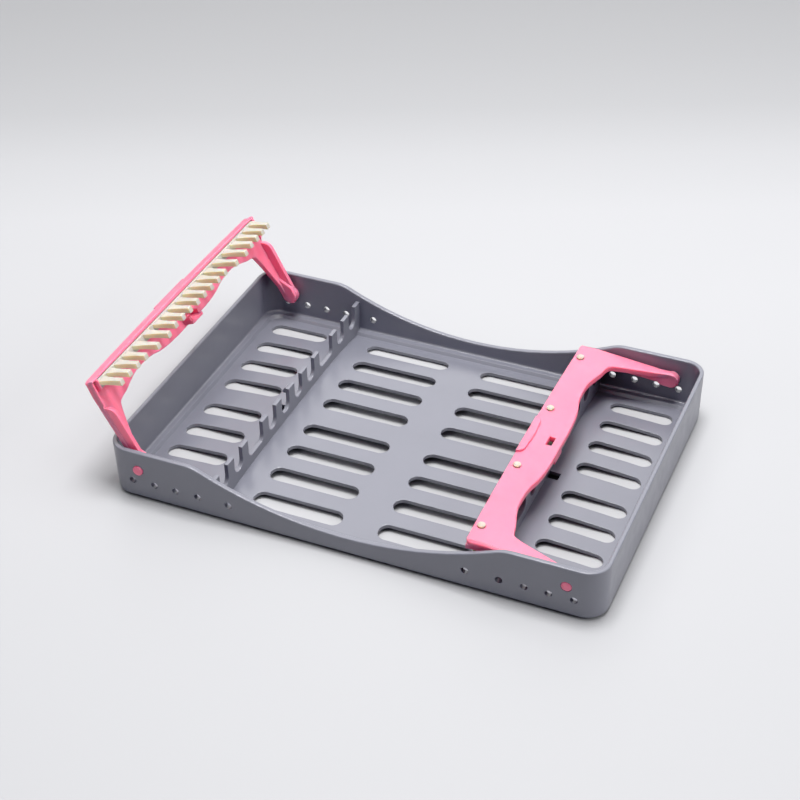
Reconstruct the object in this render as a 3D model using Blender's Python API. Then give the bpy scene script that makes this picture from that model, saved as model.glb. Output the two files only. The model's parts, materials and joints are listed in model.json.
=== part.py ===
"""Dental instrument cassette: a slotted tray with two hinged clamp frames, each carrying a rubber comb.

The tray's long side runs along X. Each clamp turns on two stub pins that are moulded on its arms and sit in
holes in the tray's side walls. The left clamp stands open on its stop and the right clamp is closed.
Driving dimensions are in millimetres and are turned into metres as each shape is made.
"""

import math

import bmesh
import bpy
from mathutils import Matrix

MM = 0.001

# Tray shell
TRAY_LENGTH = 205.0
TRAY_WIDTH = 142.4
TRAY_HEIGHT = 23.5
SIDE_DRAFT = 0.7  # a side wall leans out by this much from its foot to its rim
END_DRAFT = 0.1
SIDE_WALL = 2.15
END_WALL = 1.8
CORNER_RADIUS = 9.0
WALL_FOOT = 1.25  # the walls and the ledge stop this far above the table
LEDGE_TOP = 2.9
LEDGE_WIDTH = 2.9

# Floor panel, stepped down from the ledge and crowned upwards in the middle
FLOOR_THICK = 1.65
FLOOR_CROWN = 3.0
CROWN_POWER = 4  # how flat the dome is in the middle
FLOOR_LAP = 1.3  # how far the panel runs under the ledge
FLAT_BAND = 3.7  # level band round the panel, which is the foot
FLOOR_CELLS = (20, 14)

# Floor slots
SLOT_RADIUS = 3.8
OUTER_SLOT = (66.4, 93.1)
INNER_SLOT = (7.7, 46.0)
SLOT_ROWS = (9.6, 24.9, 40.2, 55.3)

# Side-wall scoop
SCOOP_FLOOR = 8.7
SCOOP_RADIUS = 145.0
SHOULDER_RADIUS = 16.0

# Side-wall holes
VENT_RADIUS = 1.5
VENT_HEIGHT = 8.9
VENT_PLACES = (49.1, 62.5, 72.2, 81.7, 91.4)
PIVOT_X = 88.3
PIVOT_HEIGHT = 14.7
PIVOT_HOLE_RADIUS = 2.2

# Instrument ribs
RIB_INBOARD = 55.7
RIB_THICK = 1.8
RIB_TOP = 16.9
NOTCH_BOTTOM = 7.9
NARROW_NOTCH = 6.9
WIDE_NOTCH = 12.9
WIDE_CORNER = 3.0
NOTCHES = ((6.08, NARROW_NOTCH), (18.2, NARROW_NOTCH), (33.3, WIDE_NOTCH), (48.35, NARROW_NOTCH), (60.5, NARROW_NOTCH))

# Latch barb on each rib's middle post, and the floor hole below it
BARB_WIDTH = 4.2
BARB_REACH = 1.7
BARB_BOTTOM = 14.1
LATCH_HOLE_LENGTH = 4.7
LATCH_HOLE_WIDTH = 4.3

# Clamp frame, measured from its pivot: u runs towards the bar, v runs up when the clamp is closed
BAR_EDGE = 41.0
BAR_BOW = 0.8  # the bar's long edge falls back this far at its ends
PLATE_TOP = 6.4
PLATE_THICK = 2.8
FLANGE_THINNING = 0.5
SLOPE_START = 33.0
SLOPE_END = 6.0
SLOPE_DROP = 2.97
ARM_OUTSIDE = 67.9
TIP = -0.6
WAVE = ((26.1, 0), (26.1, 11), (27.0, 23), (28.6, 30), (29.1, 36), (28.9, 42), (27.6, 47.5), (26.2, 52))
FLANGE_CORNER = ((25.4, 56.0), (24.7, 57.7), (23.3, 58.65))
FLANGE_INSIDE = ((SLOPE_END, 63.1), (1.7, 64.0), (TIP, 64.05))
WEB = (63.8, 66.9)
WEB_ARCH = ((22.0, -1.3), (24.5, -1.0), (26.2, -0.2), (27.3, 1.2), (27.8, 3.4))
LOBE_RADIUS = 3.5
BOSS_INSIDE = 63.0
BOSS_RADIUS = 3.1
BOSS_REACH = (4.0, 10.0)  # at its foot and under the flange
STUB_RADIUS = 2.1
STUB_END = 71.25
SIDE_FLOAT = 0.35
SIDE_CHAMFER = 0.9  # on the arms' top outer edges, clear of the tray's round corners when open
OPEN_ANGLE = 113.0

# Lip under the bar's long edge and its ends, and the tabs inside it that close the comb's ends
LIP_INSIDE = 39.5
LIP_END_INSIDE = 67.0
LIP_BOTTOM = 2.1
LIP_START = 28.0
TAB_U = (34.8, 39.8)
TAB_Y = (65.3, 66.2)
TAB_BOTTOM = 0.9

# Finger grip, latch window and latch housing on the bar
GRIP_HALF = 12.0
GRIP_SHOULDER = (38.7, 10.8)
GRIP_INNER = 37.5
GRIP_HEIGHT = 1.1
WINDOW = (29.4, 31.8)
WINDOW_WIDTH = 5.4
HOUSING_OUTSIDE = 27.1
HOUSING_WALL = 1.4
HOUSING_BOTTOM = -1.8
CHEEK_BOTTOM = -1.0
CHEEK_END = 30.5

# Rubber comb
STUD_U = 37.5
STUD_PLACES = (-58.3, -19.7, 19.7, 58.3)
STUD_RADIUS = 1.2
STUD_HOLE_RADIUS = 1.5
STUD_HEAD_RADIUS = 1.6
STUD_STANDS = (0.15, 1.3)
COMB_GAP = 0.3
STRIP = (35.4, 39.3)
STRIP_THICK = 1.8
STRIP_HALF = 65.0
TOOTH_ROOT = (37.6, 39.25)
TOOTH_TIP = (34.9, 37.4)  # the teeth lean towards the pivots and deepen to their tips
TOOTH_WIDTH = 2.7
TOOTH_WIDENING = (1.3, 0.8)  # of the width, at the root and at the tip
TOOTH_END = -8.3
LONG_TOOTH_END = -9.8
NARROW_PAIR = 3.05
WIDE_PAIR = 4.3

SINK = 0.5  # how far a joined-on shape runs into the one that carries it

GREY = (0.20, 0.20, 0.23, 1.0)
PINK = (0.95, 0.30, 0.42, 1.0)
CREAM = (0.85, 0.80, 0.66, 1.0)


def crown(x, y):
    """Rise of the floor panel above its level band."""
    half_x = TRAY_LENGTH / 2 - END_WALL - LEDGE_WIDTH + FLOOR_LAP - FLAT_BAND
    half_y = TRAY_WIDTH / 2 - SIDE_DRAFT - SIDE_WALL - LEDGE_WIDTH + FLOOR_LAP - FLAT_BAND
    along = max(0.0, 1 - (x / half_x) ** CROWN_POWER)
    across = max(0.0, 1 - (y / half_y) ** CROWN_POWER)
    return FLOOR_CROWN * along * across


def collection(name, for_cutters=False):
    made = bpy.data.collections.new(name)
    made.hide_render = for_cutters
    bpy.context.scene.collection.children.link(made)
    return made


def material(name, colour, roughness):
    made = bpy.data.materials.new(name)
    made.use_nodes = True
    shader = made.node_tree.nodes["Principled BSDF"]
    shader.inputs["Base Color"].default_value = colour
    shader.inputs["Roughness"].default_value = roughness
    shader.inputs["Metallic"].default_value = 0.0
    return made


def add_object(name, shape, home):
    """Turns a bmesh in millimetres into an object in metres."""
    bmesh.ops.recalc_face_normals(shape, faces=shape.faces)
    bmesh.ops.scale(shape, vec=(MM, MM, MM), verts=shape.verts)
    mesh = bpy.data.meshes.new(name)
    shape.to_mesh(mesh)
    shape.free()
    made = bpy.data.objects.new(name, mesh)
    home.objects.link(made)
    if home is CUTTERS:
        made.hide_render = True
        made.display_type = "WIRE"
    return made


def slab(x, y, z):
    """A box between two corners, as a bmesh."""
    shape = bmesh.new()
    bmesh.ops.create_cube(shape, size=1.0)
    bmesh.ops.scale(shape, vec=(x[1] - x[0], y[1] - y[0], z[1] - z[0]), verts=shape.verts)
    middle = ((x[0] + x[1]) / 2, (y[0] + y[1]) / 2, (z[0] + z[1]) / 2)
    bmesh.ops.translate(shape, vec=middle, verts=shape.verts)
    return shape


def round_corners(shape, radius, steps):
    """Rounds the upright edges of a box."""
    upright = [edge for edge in shape.edges if abs(edge.verts[0].co.z - edge.verts[1].co.z) > 0.01]
    bmesh.ops.bevel(shape, geom=upright, offset=radius, segments=steps, profile=0.5, affect="EDGES")


def tapered_slab(half, draft, z, radius, steps=7):
    """A round-cornered block centred on the origin, drawn in at its foot by the draft."""
    shape = slab((-half[0], half[0]), (-half[1], half[1]), z)
    round_corners(shape, radius, steps)
    for vert in shape.verts:
        if vert.co.z < sum(z) / 2:
            vert.co.x *= 1 - draft[0] / half[0]
            vert.co.y *= 1 - draft[1] / half[1]
    return shape


def cylinder(radius, length, centre, axis="Z", steps=24):
    shape = bmesh.new()
    bmesh.ops.create_cone(
        shape, cap_ends=True, segments=steps, radius1=radius, radius2=radius, depth=length
    )
    if axis == "Y":
        bmesh.ops.rotate(shape, cent=(0, 0, 0), matrix=Matrix.Rotation(math.pi / 2, 3, "X"), verts=shape.verts)
    bmesh.ops.translate(shape, vec=centre, verts=shape.verts)
    return shape


def joined(shapes):
    """Several bmeshes as one."""
    whole = bmesh.new()
    for shape in shapes:
        mesh = bpy.data.meshes.new("piece")
        shape.to_mesh(mesh)
        shape.free()
        whole.from_mesh(mesh)
        bpy.data.meshes.remove(mesh)
    return whole


def prism(knots, low, high, plane="XY", steps=6):
    """Extrudes a closed outline. A knot is (a, b) for a corner or (a, b, True) for a smooth point.

    The outline lies in the plane named, and low and high are along the third axis."""
    curve = bpy.data.curves.new("outline", "CURVE")
    curve.dimensions = "2D"
    curve.fill_mode = "BOTH"
    curve.resolution_u = steps
    curve.extrude = (high - low) / 2
    spline = curve.splines.new("BEZIER")
    spline.bezier_points.add(len(knots) - 1)
    spline.use_cyclic_u = True
    for point, knot in zip(spline.bezier_points, knots):
        point.co = (knot[0], knot[1], 0)
        kind = "AUTO" if len(knot) > 2 else "VECTOR"
        point.handle_left_type = kind
        point.handle_right_type = kind
    holder = bpy.data.objects.new("outline", curve)
    bpy.context.scene.collection.objects.link(holder)
    mesh = bpy.data.meshes.new_from_object(holder.evaluated_get(bpy.context.evaluated_depsgraph_get()))
    shape = bmesh.new()
    shape.from_mesh(mesh)
    bpy.data.objects.remove(holder)
    bpy.data.curves.remove(curve)
    bpy.data.meshes.remove(mesh)
    bmesh.ops.remove_doubles(shape, verts=shape.verts, dist=0.0001)
    bmesh.ops.translate(shape, vec=(0, 0, (low + high) / 2), verts=shape.verts)
    if plane == "XZ":
        bmesh.ops.rotate(shape, cent=(0, 0, 0), matrix=Matrix.Rotation(math.pi / 2, 3, "X"), verts=shape.verts)
        bmesh.ops.scale(shape, vec=(1, -1, 1), verts=shape.verts)
    if plane == "YZ":
        for vert in shape.verts:
            vert.co = (vert.co.z, vert.co.x, vert.co.y)
    bmesh.ops.recalc_face_normals(shape, faces=shape.faces)
    return shape


def arc(centre, radius, start, end, steps):
    """Points on an arc, angles in degrees."""
    points = []
    for step in range(steps + 1):
        angle = math.radians(start + (end - start) * step / steps)
        points.append((centre[0] + radius * math.cos(angle), centre[1] + radius * math.sin(angle)))
    return points


def combine(target, shape, operation):
    """Adds a Boolean of this shape to the target."""
    tool = add_object(target.name + "_" + operation.lower(), shape, CUTTERS)
    tool.parent = target
    modifier = target.modifiers.new(tool.name, "BOOLEAN")
    modifier.operation = operation
    modifier.solver = "EXACT"
    modifier.object = tool


def spread(place, half, cells):
    """Moves a grid line from its place on -1 to 1, so that the outer cells become the level band."""
    if abs(place) > 0.999:
        return math.copysign(half, place)
    return place * (half - FLAT_BAND) * cells / (cells - 2)


def floor_panel():
    """The crowned panel: a grid raised in the middle, thickened downwards, with round corners."""
    half_x = TRAY_LENGTH / 2 - END_WALL - LEDGE_WIDTH + FLOOR_LAP
    half_y = TRAY_WIDTH / 2 - SIDE_DRAFT - SIDE_WALL - LEDGE_WIDTH + FLOOR_LAP
    shape = bmesh.new()
    bmesh.ops.create_grid(shape, x_segments=FLOOR_CELLS[0], y_segments=FLOOR_CELLS[1], size=1.0)
    for vert in shape.verts:
        vert.co.x = spread(vert.co.x, half_x, FLOOR_CELLS[0])
        vert.co.y = spread(vert.co.y, half_y, FLOOR_CELLS[1])
    bottom = list(shape.verts)
    risen = bmesh.ops.extrude_face_region(shape, geom=list(shape.faces))["geom"]
    top = [item for item in risen if isinstance(item, bmesh.types.BMVert)]
    bmesh.ops.translate(shape, vec=(0, 0, FLOOR_THICK), verts=top)
    for vert in bottom + top:
        vert.co.z += crown(vert.co.x, vert.co.y)
    corners = [
        edge
        for edge in shape.edges
        if all(abs(vert.co.x) > half_x - 0.01 and abs(vert.co.y) > half_y - 0.01 for vert in edge.verts)
    ]
    bmesh.ops.bevel(shape, geom=corners, offset=5.5, segments=5, profile=0.5, affect="EDGES")
    return shape


def scoop_outline():
    """The hollow cut from the middle of both side walls, open at the top, with rounded shoulders."""
    centre_z = SCOOP_FLOOR + SCOOP_RADIUS
    shoulder_z = TRAY_HEIGHT - SHOULDER_RADIUS
    shoulder_x = math.sqrt((SCOOP_RADIUS + SHOULDER_RADIUS) ** 2 - (centre_z - shoulder_z) ** 2)
    lean = math.degrees(math.atan2(shoulder_x, centre_z - shoulder_z))
    right = arc((shoulder_x, shoulder_z), SHOULDER_RADIUS, 90, 90 + lean, 4)
    bowl = arc((0, centre_z), SCOOP_RADIUS, -90 + lean, -90 - lean, 20)
    left = [(-x, z) for x, z in reversed(right)]
    top = TRAY_HEIGHT + 5
    return [(shoulder_x, top)] + right + bowl[1:-1] + left + [(-shoulder_x, top)]


def rib_floor(y):
    """Height of the middle of the floor panel's thickness under a rib."""
    return crown(RIB_INBOARD + RIB_THICK / 2, y) + FLOOR_THICK / 2


def notch_outline(centre, width):
    """Points of one rib notch, from low Y to high Y."""
    half = width / 2
    corner = half if width == NARROW_NOTCH else WIDE_CORNER
    bottom = NOTCH_BOTTOM + corner
    low = arc((centre - half + corner, bottom), corner, 180, 270, 4)
    high = arc((centre + half - corner, bottom), corner, 270, 360, 4)
    if corner == half:
        high = high[1:]
    return [(centre - half, RIB_TOP)] + low + high + [(centre + half, RIB_TOP)]


def rib(side):
    """One rib with its ten notches, as a bmesh. Its foot follows the crowned floor."""
    half = TRAY_WIDTH / 2 - SIDE_DRAFT - SIDE_WALL + 2 * SINK
    places = sorted([(-y, width) for y, width in NOTCHES] + list(NOTCHES))
    outline = [(-half, RIB_TOP)]
    for centre, width in places:
        outline += notch_outline(centre, width)
    outline.append((half, RIB_TOP))
    outline += [(half, LEDGE_TOP - 0.8), (half - LEDGE_WIDTH, LEDGE_TOP - 0.8)]
    stations = [half - LEDGE_WIDTH - 1.0 - step * (half - LEDGE_WIDTH - 1.0) / 5 for step in range(11)]
    outline += [(y, rib_floor(y)) for y in stations]
    outline += [(-half + LEDGE_WIDTH, LEDGE_TOP - 0.8), (-half, LEDGE_TOP - 0.8)]
    ends = sorted((side * RIB_INBOARD, side * (RIB_INBOARD + RIB_THICK)))
    return prism(outline, ends[0], ends[1], "YZ")


def barb(side):
    """The catch on the outboard face of a rib's middle post."""
    root = RIB_INBOARD + RIB_THICK - SINK
    tip = RIB_INBOARD + RIB_THICK + BARB_REACH
    outline = [(root, BARB_BOTTOM), (tip, BARB_BOTTOM), (tip, BARB_BOTTOM + 0.8), (root + 0.6, RIB_TOP), (root, RIB_TOP)]
    outline = [(side * x, z) for x, z in outline]
    return prism(outline, -BARB_WIDTH / 2, BARB_WIDTH / 2, "XZ")


def slots():
    """All the floor slots as one cutter."""
    shapes = []
    for start, end in (OUTER_SLOT, INNER_SLOT):
        for side in (-1, 1):
            for row in SLOT_ROWS:
                for y in (-row, row):
                    ends = sorted((side * start, side * end))
                    left = arc((ends[0] + SLOT_RADIUS, y), SLOT_RADIUS, 90, 270, 6)
                    right = arc((ends[1] - SLOT_RADIUS, y), SLOT_RADIUS, -90, 90, 6)
                    shapes.append(prism(left + right, -2, FLOOR_CROWN + FLOOR_THICK + 2))
    return joined(shapes)


def wall_holes():
    """Vent holes, pivot holes and latch holes as one cutter."""
    reach = TRAY_WIDTH + 10
    shapes = []
    for side in (-1, 1):
        for place in VENT_PLACES:
            shapes.append(cylinder(VENT_RADIUS, reach, (side * place, 0, VENT_HEIGHT), "Y", 10))
        shapes.append(cylinder(PIVOT_HOLE_RADIUS, reach, (side * PIVOT_X, 0, PIVOT_HEIGHT), "Y", 24))
        start = RIB_INBOARD + RIB_THICK
        x = sorted((side * start, side * (start + LATCH_HOLE_LENGTH)))
        y = (-LATCH_HOLE_WIDTH / 2, LATCH_HOLE_WIDTH / 2)
        shapes.append(slab(x, y, (-2, FLOOR_CROWN + FLOOR_THICK + 1)))
    return joined(shapes)


def make_tray():
    half = (TRAY_LENGTH / 2, TRAY_WIDTH / 2)
    inner = (half[0] - END_WALL, half[1] - SIDE_WALL)
    shell = tapered_slab(half, (END_DRAFT, SIDE_DRAFT), (WALL_FOOT, TRAY_HEIGHT), CORNER_RADIUS)
    tray = add_object("tray", shell, PARTS)
    hollow = tapered_slab(inner, (END_DRAFT, SIDE_DRAFT), (LEDGE_TOP, TRAY_HEIGHT + 3), CORNER_RADIUS - 2)
    combine(tray, hollow, "DIFFERENCE")
    opening = (inner[0] - END_DRAFT - LEDGE_WIDTH, inner[1] - SIDE_DRAFT - LEDGE_WIDTH)
    combine(tray, tapered_slab(opening, (0, 0), (0, LEDGE_TOP + 1), 4.5, 5), "DIFFERENCE")
    combine(tray, floor_panel(), "UNION")
    combine(tray, prism(scoop_outline(), -half[1] - 5, half[1] + 5, "XZ"), "DIFFERENCE")
    for side in (-1, 1):
        combine(tray, rib(side), "UNION")
        combine(tray, barb(side), "UNION")
    combine(tray, joined([slots(), wall_holes()]), "DIFFERENCE")
    tray.data.materials.append(material("grey_plastic", GREY, 0.45))
    return tray


def bar_edge(y):
    """The bar's long edge, slightly bowed."""
    return BAR_EDGE - BAR_BOW * (y / ARM_OUTSIDE) ** 2


def plate():
    """The bar and the two tapering arm flanges, in one sheet that slopes down towards the pivots."""
    round_corner = 1.5
    half = [(u, y, True) for u, y in WAVE[1:] + FLANGE_CORNER]
    half += list(FLANGE_INSIDE) + [(TIP, ARM_OUTSIDE)]
    corner = bar_edge(ARM_OUTSIDE)
    half += [(corner - round_corner, ARM_OUTSIDE), (corner - 0.45, ARM_OUTSIDE - 0.45)]
    half += [(bar_edge(y), y) for y in (ARM_OUTSIDE - round_corner, 50, 33, 16)]
    mirrored = [(knot[0], -knot[1]) + tuple(knot[2:]) for knot in reversed(half)]
    outline = [(*WAVE[0], True)] + half + [(BAR_EDGE, 0)] + mirrored
    shape = prism(outline, PLATE_TOP - PLATE_THICK, PLATE_TOP, "XY", 3)
    sides = [
        edge
        for edge in shape.edges
        if all(vert.co.z > PLATE_TOP - 0.01 and abs(vert.co.y) > ARM_OUTSIDE - 0.01 for vert in edge.verts)
    ]
    bmesh.ops.bevel(shape, geom=sides, offset=SIDE_CHAMFER, segments=2, profile=0.5, affect="EDGES")
    for station in (SLOPE_START, SLOPE_END):
        everything = list(shape.verts) + list(shape.edges) + list(shape.faces)
        bmesh.ops.bisect_plane(shape, geom=everything, plane_co=(station, 0, 0), plane_no=(1, 0, 0))
    for vert in shape.verts:
        along = min(1.0, max(0.0, (SLOPE_START - vert.co.x) / (SLOPE_START - SLOPE_END)))
        if vert.co.z < PLATE_TOP - PLATE_THICK + 0.01:
            vert.co.z += FLANGE_THINNING * along
        vert.co.z -= SLOPE_DROP * along
    return shape


def webs():
    """The upright side plates of both arms, arched where they meet the bar and deepening towards the pivots."""
    foot = [(0, 0), (0, 0.4 - LOBE_RADIUS), (BOSS_REACH[0], 0.9 - LOBE_RADIUS)]
    arch = [(u, v, True) for u, v in WEB_ARCH[1:]]
    outline = foot + [WEB_ARCH[0]] + arch + [(WEB_ARCH[-1][0], 4.6), (0, 2.6)]
    return [prism(outline, WEB[0], WEB[1], "XZ"), prism(outline, -WEB[1], -WEB[0], "XZ")]


def bosses_and_stubs():
    """The thick, round-ended pivot bosses and their stub pins."""
    wedge = [(0, 0.1 - BOSS_RADIUS), (BOSS_REACH[0], 0.8 - LOBE_RADIUS), (BOSS_REACH[1], 2.0), (0, 2.0)]
    shapes = []
    for side in (-1, 1):
        for radius, inside in ((LOBE_RADIUS, FLANGE_INSIDE[-1][1] + 0.1), (BOSS_RADIUS, BOSS_INSIDE)):
            middle = side * (inside + ARM_OUTSIDE - 0.2) / 2
            shapes.append(cylinder(radius, ARM_OUTSIDE - 0.2 - inside, (0, middle, 0), "Y", 28))
        inner, outer = sorted((side * (BOSS_INSIDE + 0.1), side * (WEB[1] - 0.2)))
        shapes.append(prism(wedge, inner, outer, "XZ"))
        start = ARM_OUTSIDE - 2 * SINK
        middle = side * (start + STUB_END) / 2
        shapes.append(cylinder(STUB_RADIUS, STUB_END - start, (0, middle, 0), "Y", 24))
    return shapes


def lips():
    """The lip that runs under the bar's bowed edge and round its ends."""
    ends = ARM_OUTSIDE - 0.3
    top = PLATE_TOP - PLATE_THICK + SINK
    bowed = [(bar_edge(y) - 0.1, y) for y in (-ends, -50, -33, -16, 0, 16, 33, 50, ends)]
    along = prism([(LIP_INSIDE, ends), (LIP_INSIDE, -ends)] + bowed, LIP_BOTTOM, top)
    corner = bar_edge(ARM_OUTSIDE) - 0.5
    outline = [(LIP_START, top), (LIP_START, top - 0.7), (LIP_START + 1.5, LIP_BOTTOM + 0.1)]
    outline += [(corner, LIP_BOTTOM + 0.1), (corner, top)]
    across = [
        prism(outline, *sorted((side * LIP_END_INSIDE, side * (ARM_OUTSIDE - 0.1))), "XZ")
        for side in (-1, 1)
    ]
    return [along] + across


def tabs():
    """The small walls that close the comb's ends, each with a round lower corner towards the pivots."""
    top = PLATE_TOP - PLATE_THICK + SINK
    low, high = TAB_U
    outline = [(low, top), (low, TAB_BOTTOM + 1.6), (low + 0.5, TAB_BOTTOM + 0.5), (low + 1.6, TAB_BOTTOM)]
    outline += [(high - 0.8, TAB_BOTTOM), (high, TAB_BOTTOM + 0.8), (high, top)]
    return [prism(outline, TAB_Y[0], TAB_Y[1], "XZ"), prism(outline, -TAB_Y[1], -TAB_Y[0], "XZ")]


def grip():
    """The crescent ridge for a fingertip, on top of the bar's long edge."""
    outer = BAR_EDGE - 0.15
    half = [(outer, GRIP_HALF), GRIP_SHOULDER, (GRIP_INNER + 0.3, 5.4)]
    mirrored = [(u, -y) for u, y in reversed(half)]
    return prism(half + [(GRIP_INNER, 0)] + mirrored, PLATE_TOP - 1.0, PLATE_TOP + GRIP_HEIGHT, "XY")


def latch_housing():
    """The open-sided housing under the window that drops round the tray's barb."""
    top = PLATE_TOP - PLATE_THICK + SINK
    outer = WINDOW_WIDTH / 2 + HOUSING_WALL
    wall_end = HOUSING_OUTSIDE + HOUSING_WALL
    back = slab((HOUSING_OUTSIDE, wall_end), (-outer, outer), (HOUSING_BOTTOM, top))
    cheeks = [
        slab((wall_end - SINK, CHEEK_END), sorted((side * outer, side * WINDOW_WIDTH / 2)), (CHEEK_BOTTOM, top))
        for side in (-1, 1)
    ]
    return [back] + cheeks


def make_clamp(name):
    """A clamp frame about its pivot: +X to the bar and +Z up, as it lies when closed on the left."""
    clamp = add_object(name, plate(), PARTS)
    for shape in webs() + bosses_and_stubs() + lips() + tabs() + [grip()] + latch_housing():
        combine(clamp, shape, "UNION")
    holes = [cylinder(STUD_HOLE_RADIUS, 12, (STUD_U, y, PLATE_TOP), "Z", 12) for y in STUD_PLACES]
    window = slab(WINDOW, (-WINDOW_WIDTH / 2, WINDOW_WIDTH / 2), (0, PLATE_TOP + 2))
    combine(clamp, joined(holes + [window]), "DIFFERENCE")
    return clamp


def tooth_places():
    """(y, end height) of the ten teeth on one half of a comb, a pair over each notch."""
    places = []
    for centre, width in NOTCHES:
        wide = width == WIDE_NOTCH
        spread = WIDE_PAIR if wide else NARROW_PAIR
        end = LONG_TOOTH_END if wide else TOOTH_END
        places += [(centre - spread, end), (centre + spread, end)]
    return places


def tooth(y, end):
    """One tapering tooth, wide at its root and deep at its tip, leaning towards the pivots."""
    root = PLATE_TOP - PLATE_THICK - COMB_GAP - STRIP_THICK + SINK
    shape = slab(TOOTH_ROOT, (y - TOOTH_WIDTH / 2, y + TOOTH_WIDTH / 2), (end, root))
    for vert in shape.verts:
        at_tip = vert.co.z < (end + root) / 2
        vert.co.y = y + (vert.co.y - y) * TOOTH_WIDENING[at_tip]
        if at_tip:
            vert.co.x = TOOTH_TIP[vert.co.x > sum(TOOTH_ROOT) / 2]
    return shape


def make_comb(name):
    """The rubber comb: a strip under the bar, twenty teeth and four headed studs that pass up through the bar."""
    top = PLATE_TOP - PLATE_THICK - COMB_GAP
    strip = slab(STRIP, (-STRIP_HALF, STRIP_HALF), (top - STRIP_THICK, top))
    comb = add_object(name, strip, PARTS)
    teeth = []
    for y, end in tooth_places():
        teeth += [tooth(y, end), tooth(-y, end)]
    combine(comb, joined(teeth), "UNION")
    low = top - SINK
    seat, crest = [PLATE_TOP + stands for stands in STUD_STANDS]
    studs = []
    for y in STUD_PLACES:
        studs.append(cylinder(STUD_RADIUS, seat + SINK - low, (STUD_U, y, (low + seat + SINK) / 2), "Z", 12))
        head = cylinder(STUD_HEAD_RADIUS, crest - seat, (STUD_U, y, (seat + crest) / 2), "Z", 14)
        rim = [edge for edge in head.edges if all(vert.co.z > crest - 0.01 for vert in edge.verts)]
        bmesh.ops.bevel(head, geom=rim, offset=STUD_HEAD_RADIUS / 2, segments=2, profile=0.5, affect="EDGES")
        studs.append(head)
    for stud in studs:
        combine(comb, stud, "UNION")
    return comb


def open_reach():
    """How far the open clamp's highest ridge lies outboard of its pivot."""
    angle = math.radians(OPEN_ANGLE)
    return -(BAR_EDGE * math.cos(angle) - (PLATE_TOP + GRIP_HEIGHT) * math.sin(angle))


def place(obj, x, y, open_angle, turned):
    obj.location = (x * MM, y * MM, PIVOT_HEIGHT * MM)
    obj.rotation_euler = (0, -math.radians(open_angle), math.pi if turned else 0)


for old in list(bpy.data.objects):
    bpy.data.objects.remove(old)
PARTS = collection("instrument_cassette")
CUTTERS = collection("cutters", for_cutters=True)

# The open clamp overhangs the left end, so the tray stands right of the whole object's middle.
TRAY_X = (PIVOT_X + open_reach() - TRAY_LENGTH / 2) / 2

make_tray().location.x = TRAY_X * MM
pink = material("pink_plastic", PINK, 0.4)
cream = material("cream_rubber", CREAM, 0.7)
for end, side, angle in (("left", -1, OPEN_ANGLE), ("right", 1, 0.0)):
    frame = make_clamp(end + "_clamp_frame")
    comb = make_comb(end + "_comb")
    frame.data.materials.append(pink)
    comb.data.materials.append(cream)
    for piece in (frame, comb):
        place(piece, TRAY_X + side * PIVOT_X, side * SIDE_FLOAT, angle, side > 0)
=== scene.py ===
"""Looks of a dental instrument cassette: slotted grey tray, two pink clamp frames, two cream rubber combs.

Shapes are drawn in millimetres, with the tray's middle at the origin or with a clamp's pivot at the origin,
and are turned into the row frame's metres when each piece is made.
"""

import json
import math

import bmesh
import bpy
from mathutils import Euler, Matrix, Vector

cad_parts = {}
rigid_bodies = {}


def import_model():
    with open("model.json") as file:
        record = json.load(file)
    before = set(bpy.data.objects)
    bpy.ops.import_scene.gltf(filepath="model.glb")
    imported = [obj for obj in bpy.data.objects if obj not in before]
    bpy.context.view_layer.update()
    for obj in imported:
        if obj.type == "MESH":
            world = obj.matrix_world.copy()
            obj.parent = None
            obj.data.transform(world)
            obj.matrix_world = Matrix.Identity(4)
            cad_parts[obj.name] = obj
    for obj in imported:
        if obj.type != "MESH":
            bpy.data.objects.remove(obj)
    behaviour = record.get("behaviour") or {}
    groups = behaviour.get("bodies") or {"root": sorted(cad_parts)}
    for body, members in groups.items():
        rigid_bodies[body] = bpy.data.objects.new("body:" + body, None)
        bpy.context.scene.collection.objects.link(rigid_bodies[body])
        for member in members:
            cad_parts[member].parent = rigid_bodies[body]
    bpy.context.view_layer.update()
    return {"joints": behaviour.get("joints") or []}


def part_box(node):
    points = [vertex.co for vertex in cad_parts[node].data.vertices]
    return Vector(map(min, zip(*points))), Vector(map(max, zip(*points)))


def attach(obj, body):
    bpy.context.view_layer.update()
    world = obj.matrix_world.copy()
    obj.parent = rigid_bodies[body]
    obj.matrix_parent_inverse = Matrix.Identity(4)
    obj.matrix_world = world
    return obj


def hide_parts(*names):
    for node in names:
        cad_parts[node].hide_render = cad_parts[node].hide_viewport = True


for old in list(bpy.data.objects):
    bpy.data.objects.remove(old)

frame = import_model()

MM = 0.001

# Tray: x along its length, y across it, z up from the table. It is symmetric about both.
HALF_X, HALF_Y = 102.5, 71.2
RIM = 23.5
SIDE_DRAFT, END_DRAFT = 0.7, 0.1
SIDE_WALL, END_WALL = 2.15, 1.8
WALL_FOOT = 1.25
LEDGE_TOP = 2.9
LEDGE_WIDTH, LEDGE_SLOPE = 2.9, 1.0
OUTER_RADIUS, INNER_RADIUS, LEDGE_RADIUS = 9.0, 7.0, 5.2
SCOOP_FLOOR, SCOOP_RADIUS, SHOULDER_RADIUS = 8.7, 145.0, 16.0
VENT_RADIUS, VENT_HEIGHT, VENT_FLARE = 1.5, 8.9, 0.1
VENT_PLACES = (49.1, 62.5, 72.2, 81.7, 91.4)
PIVOT_X, PIVOT_HEIGHT = 88.3, 14.7
PIVOT_HOLE, PIVOT_FLARE = 2.2, 0.15

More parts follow.
